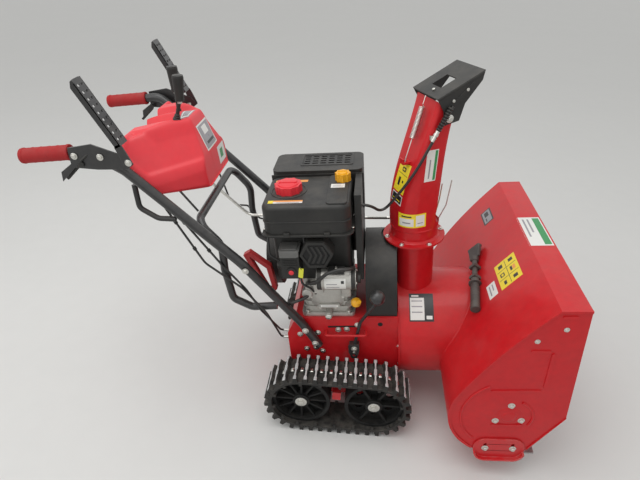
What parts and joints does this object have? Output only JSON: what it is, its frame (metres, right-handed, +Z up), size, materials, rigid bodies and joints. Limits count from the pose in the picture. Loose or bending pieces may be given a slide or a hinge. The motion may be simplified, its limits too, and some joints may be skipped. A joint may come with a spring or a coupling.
{
  "type": "tracked snow blower",
  "caption": "Walk-behind snow blower on rubber tracks, with a two-stage auger, a turning chute, a covered engine and a console between its handlebars.",
  "frame": {"origin": "centre of the bounding box's bottom face, on the floor under the tracks", "axes": "+X forward, the way the machine drives and its longest extent; +Y to the machine's left; +Z up"},
  "size_m": [1.4122, 0.7426, 1.0725],
  "materials": {
    "red_paint": "glossy powder coat",
    "black_paint": "satin powder coat",
    "wheel_paint": "satin paint",
    "track_rubber": "moulded rubber",
    "grip_rubber": "soft moulded grip",
    "zinc": "zinc plated",
    "bare_steel": "bare steel",
    "cast_aluminium": "as cast",
    "gearcase_iron": "painted casting",
    "black_plastic": "moulded texture",
    "grey_plastic": "moulded texture",
    "red_plastic": "moulded gloss",
    "yellow_plastic": "moulded gloss",
    "cable_black": "cable sheath"
  },
  "bodies": {
    "chassis_body": {"chassis": "red_paint", "engine_plate": "black_paint", "transmission": "gearcase_iron", "engine_block": "cast_aluminium", "fuel_tank": "black_plastic", "fuel_cap": "red_plastic", "engine_cowl": "black_plastic", "oil_filler_cap": "yellow_plastic", "blower_housing": "black_plastic", "recoil_starter": "black_plastic", "recoil_handle": "red_plastic", "starter_motor": "black_plastic", "carburettor_box": "grey_plastic", "muffler_guard": "black_paint", "belt_cover": "black_paint", "auger_housing": "red_paint", "side_plate_right": "red_paint", "side_plate_left": "red_paint", "impeller_housing": "red_paint", "auger_gearbox": "cast_aluminium", "skid_right": "red_paint", "skid_left": "red_paint", "scraper_bar": "bare_steel", "cleanout_tool": "grey_plastic", "handlebar_right": "black_paint", "handlebar_left": "black_paint", "grip_right": "grip_rubber", "grip_left": "grip_rubber", "handle_brace": "black_paint", "console": "red_plastic", "lever_bracket_right": "black_paint", "lever_bracket_left": "black_paint", "clutch_lever_right": "black_plastic", "clutch_lever_left": "black_plastic", "shift_levers": "black_plastic", "crank_rod": "zinc", "height_lever": "black_paint", "lever_guide": "red_paint", "chute_cable": "cable_black", "control_cables": "cable_black", "cable_conduit": "cable_black"},
    "track_unit": {"track_right": "track_rubber", "track_left": "track_rubber", "track_wheels_right": "wheel_paint", "track_wheels_left": "wheel_paint", "track_beam_right": "red_paint", "track_beam_left": "red_paint", "drive_axle": "zinc", "track_tie": "bare_steel"},
    "auger_body": {"auger": "red_paint"},
    "impeller_body": {"impeller": "red_paint"},
    "chute_body": {"chute": "red_paint", "deflector_spring": "zinc"},
    "deflector_body": {"deflector": "black_plastic"}
  },
  "joints": [
    {"name": "height_adjust", "type": "hinge", "parent": "chassis_body", "child": "track_unit", "pos_m": [-0.0232, 0, 0.115], "axis": [0, 1, 0], "range_deg": [-6, 0]},
    {"name": "auger_spin", "type": "hinge", "parent": "chassis_body", "child": "auger_body", "pos_m": [0.55866, 0, 0.23514], "axis": [0, 1, 0], "continuous": true},
    {"name": "impeller_spin", "type": "hinge", "parent": "chassis_body", "child": "impeller_body", "pos_m": [0.32549, 0, 0.26232], "axis": [0.9963, 0, 0.0854], "continuous": true},
    {"name": "chute_turn", "type": "hinge", "parent": "chassis_body", "child": "chute_body", "pos_m": [0.28777, 0, 0.58528], "axis": [-0.0854, 0, 0.9963], "range_deg": [-122, 78], "deforming": ["chute_cable"]},
    {"name": "deflector_tilt", "type": "hinge", "parent": "chute_body", "child": "deflector_body", "pos_m": [0.31051, 0.02173, 0.94955], "axis": [-0.3732, 0.9272, -0.032], "range_deg": [-5, 40], "deforming": ["deflector_spring", "chute_cable"]}
  ],
  "couplings": [
    {"joint": "auger_spin", "follows": "impeller_spin", "ratio": 0.1}
  ]
}
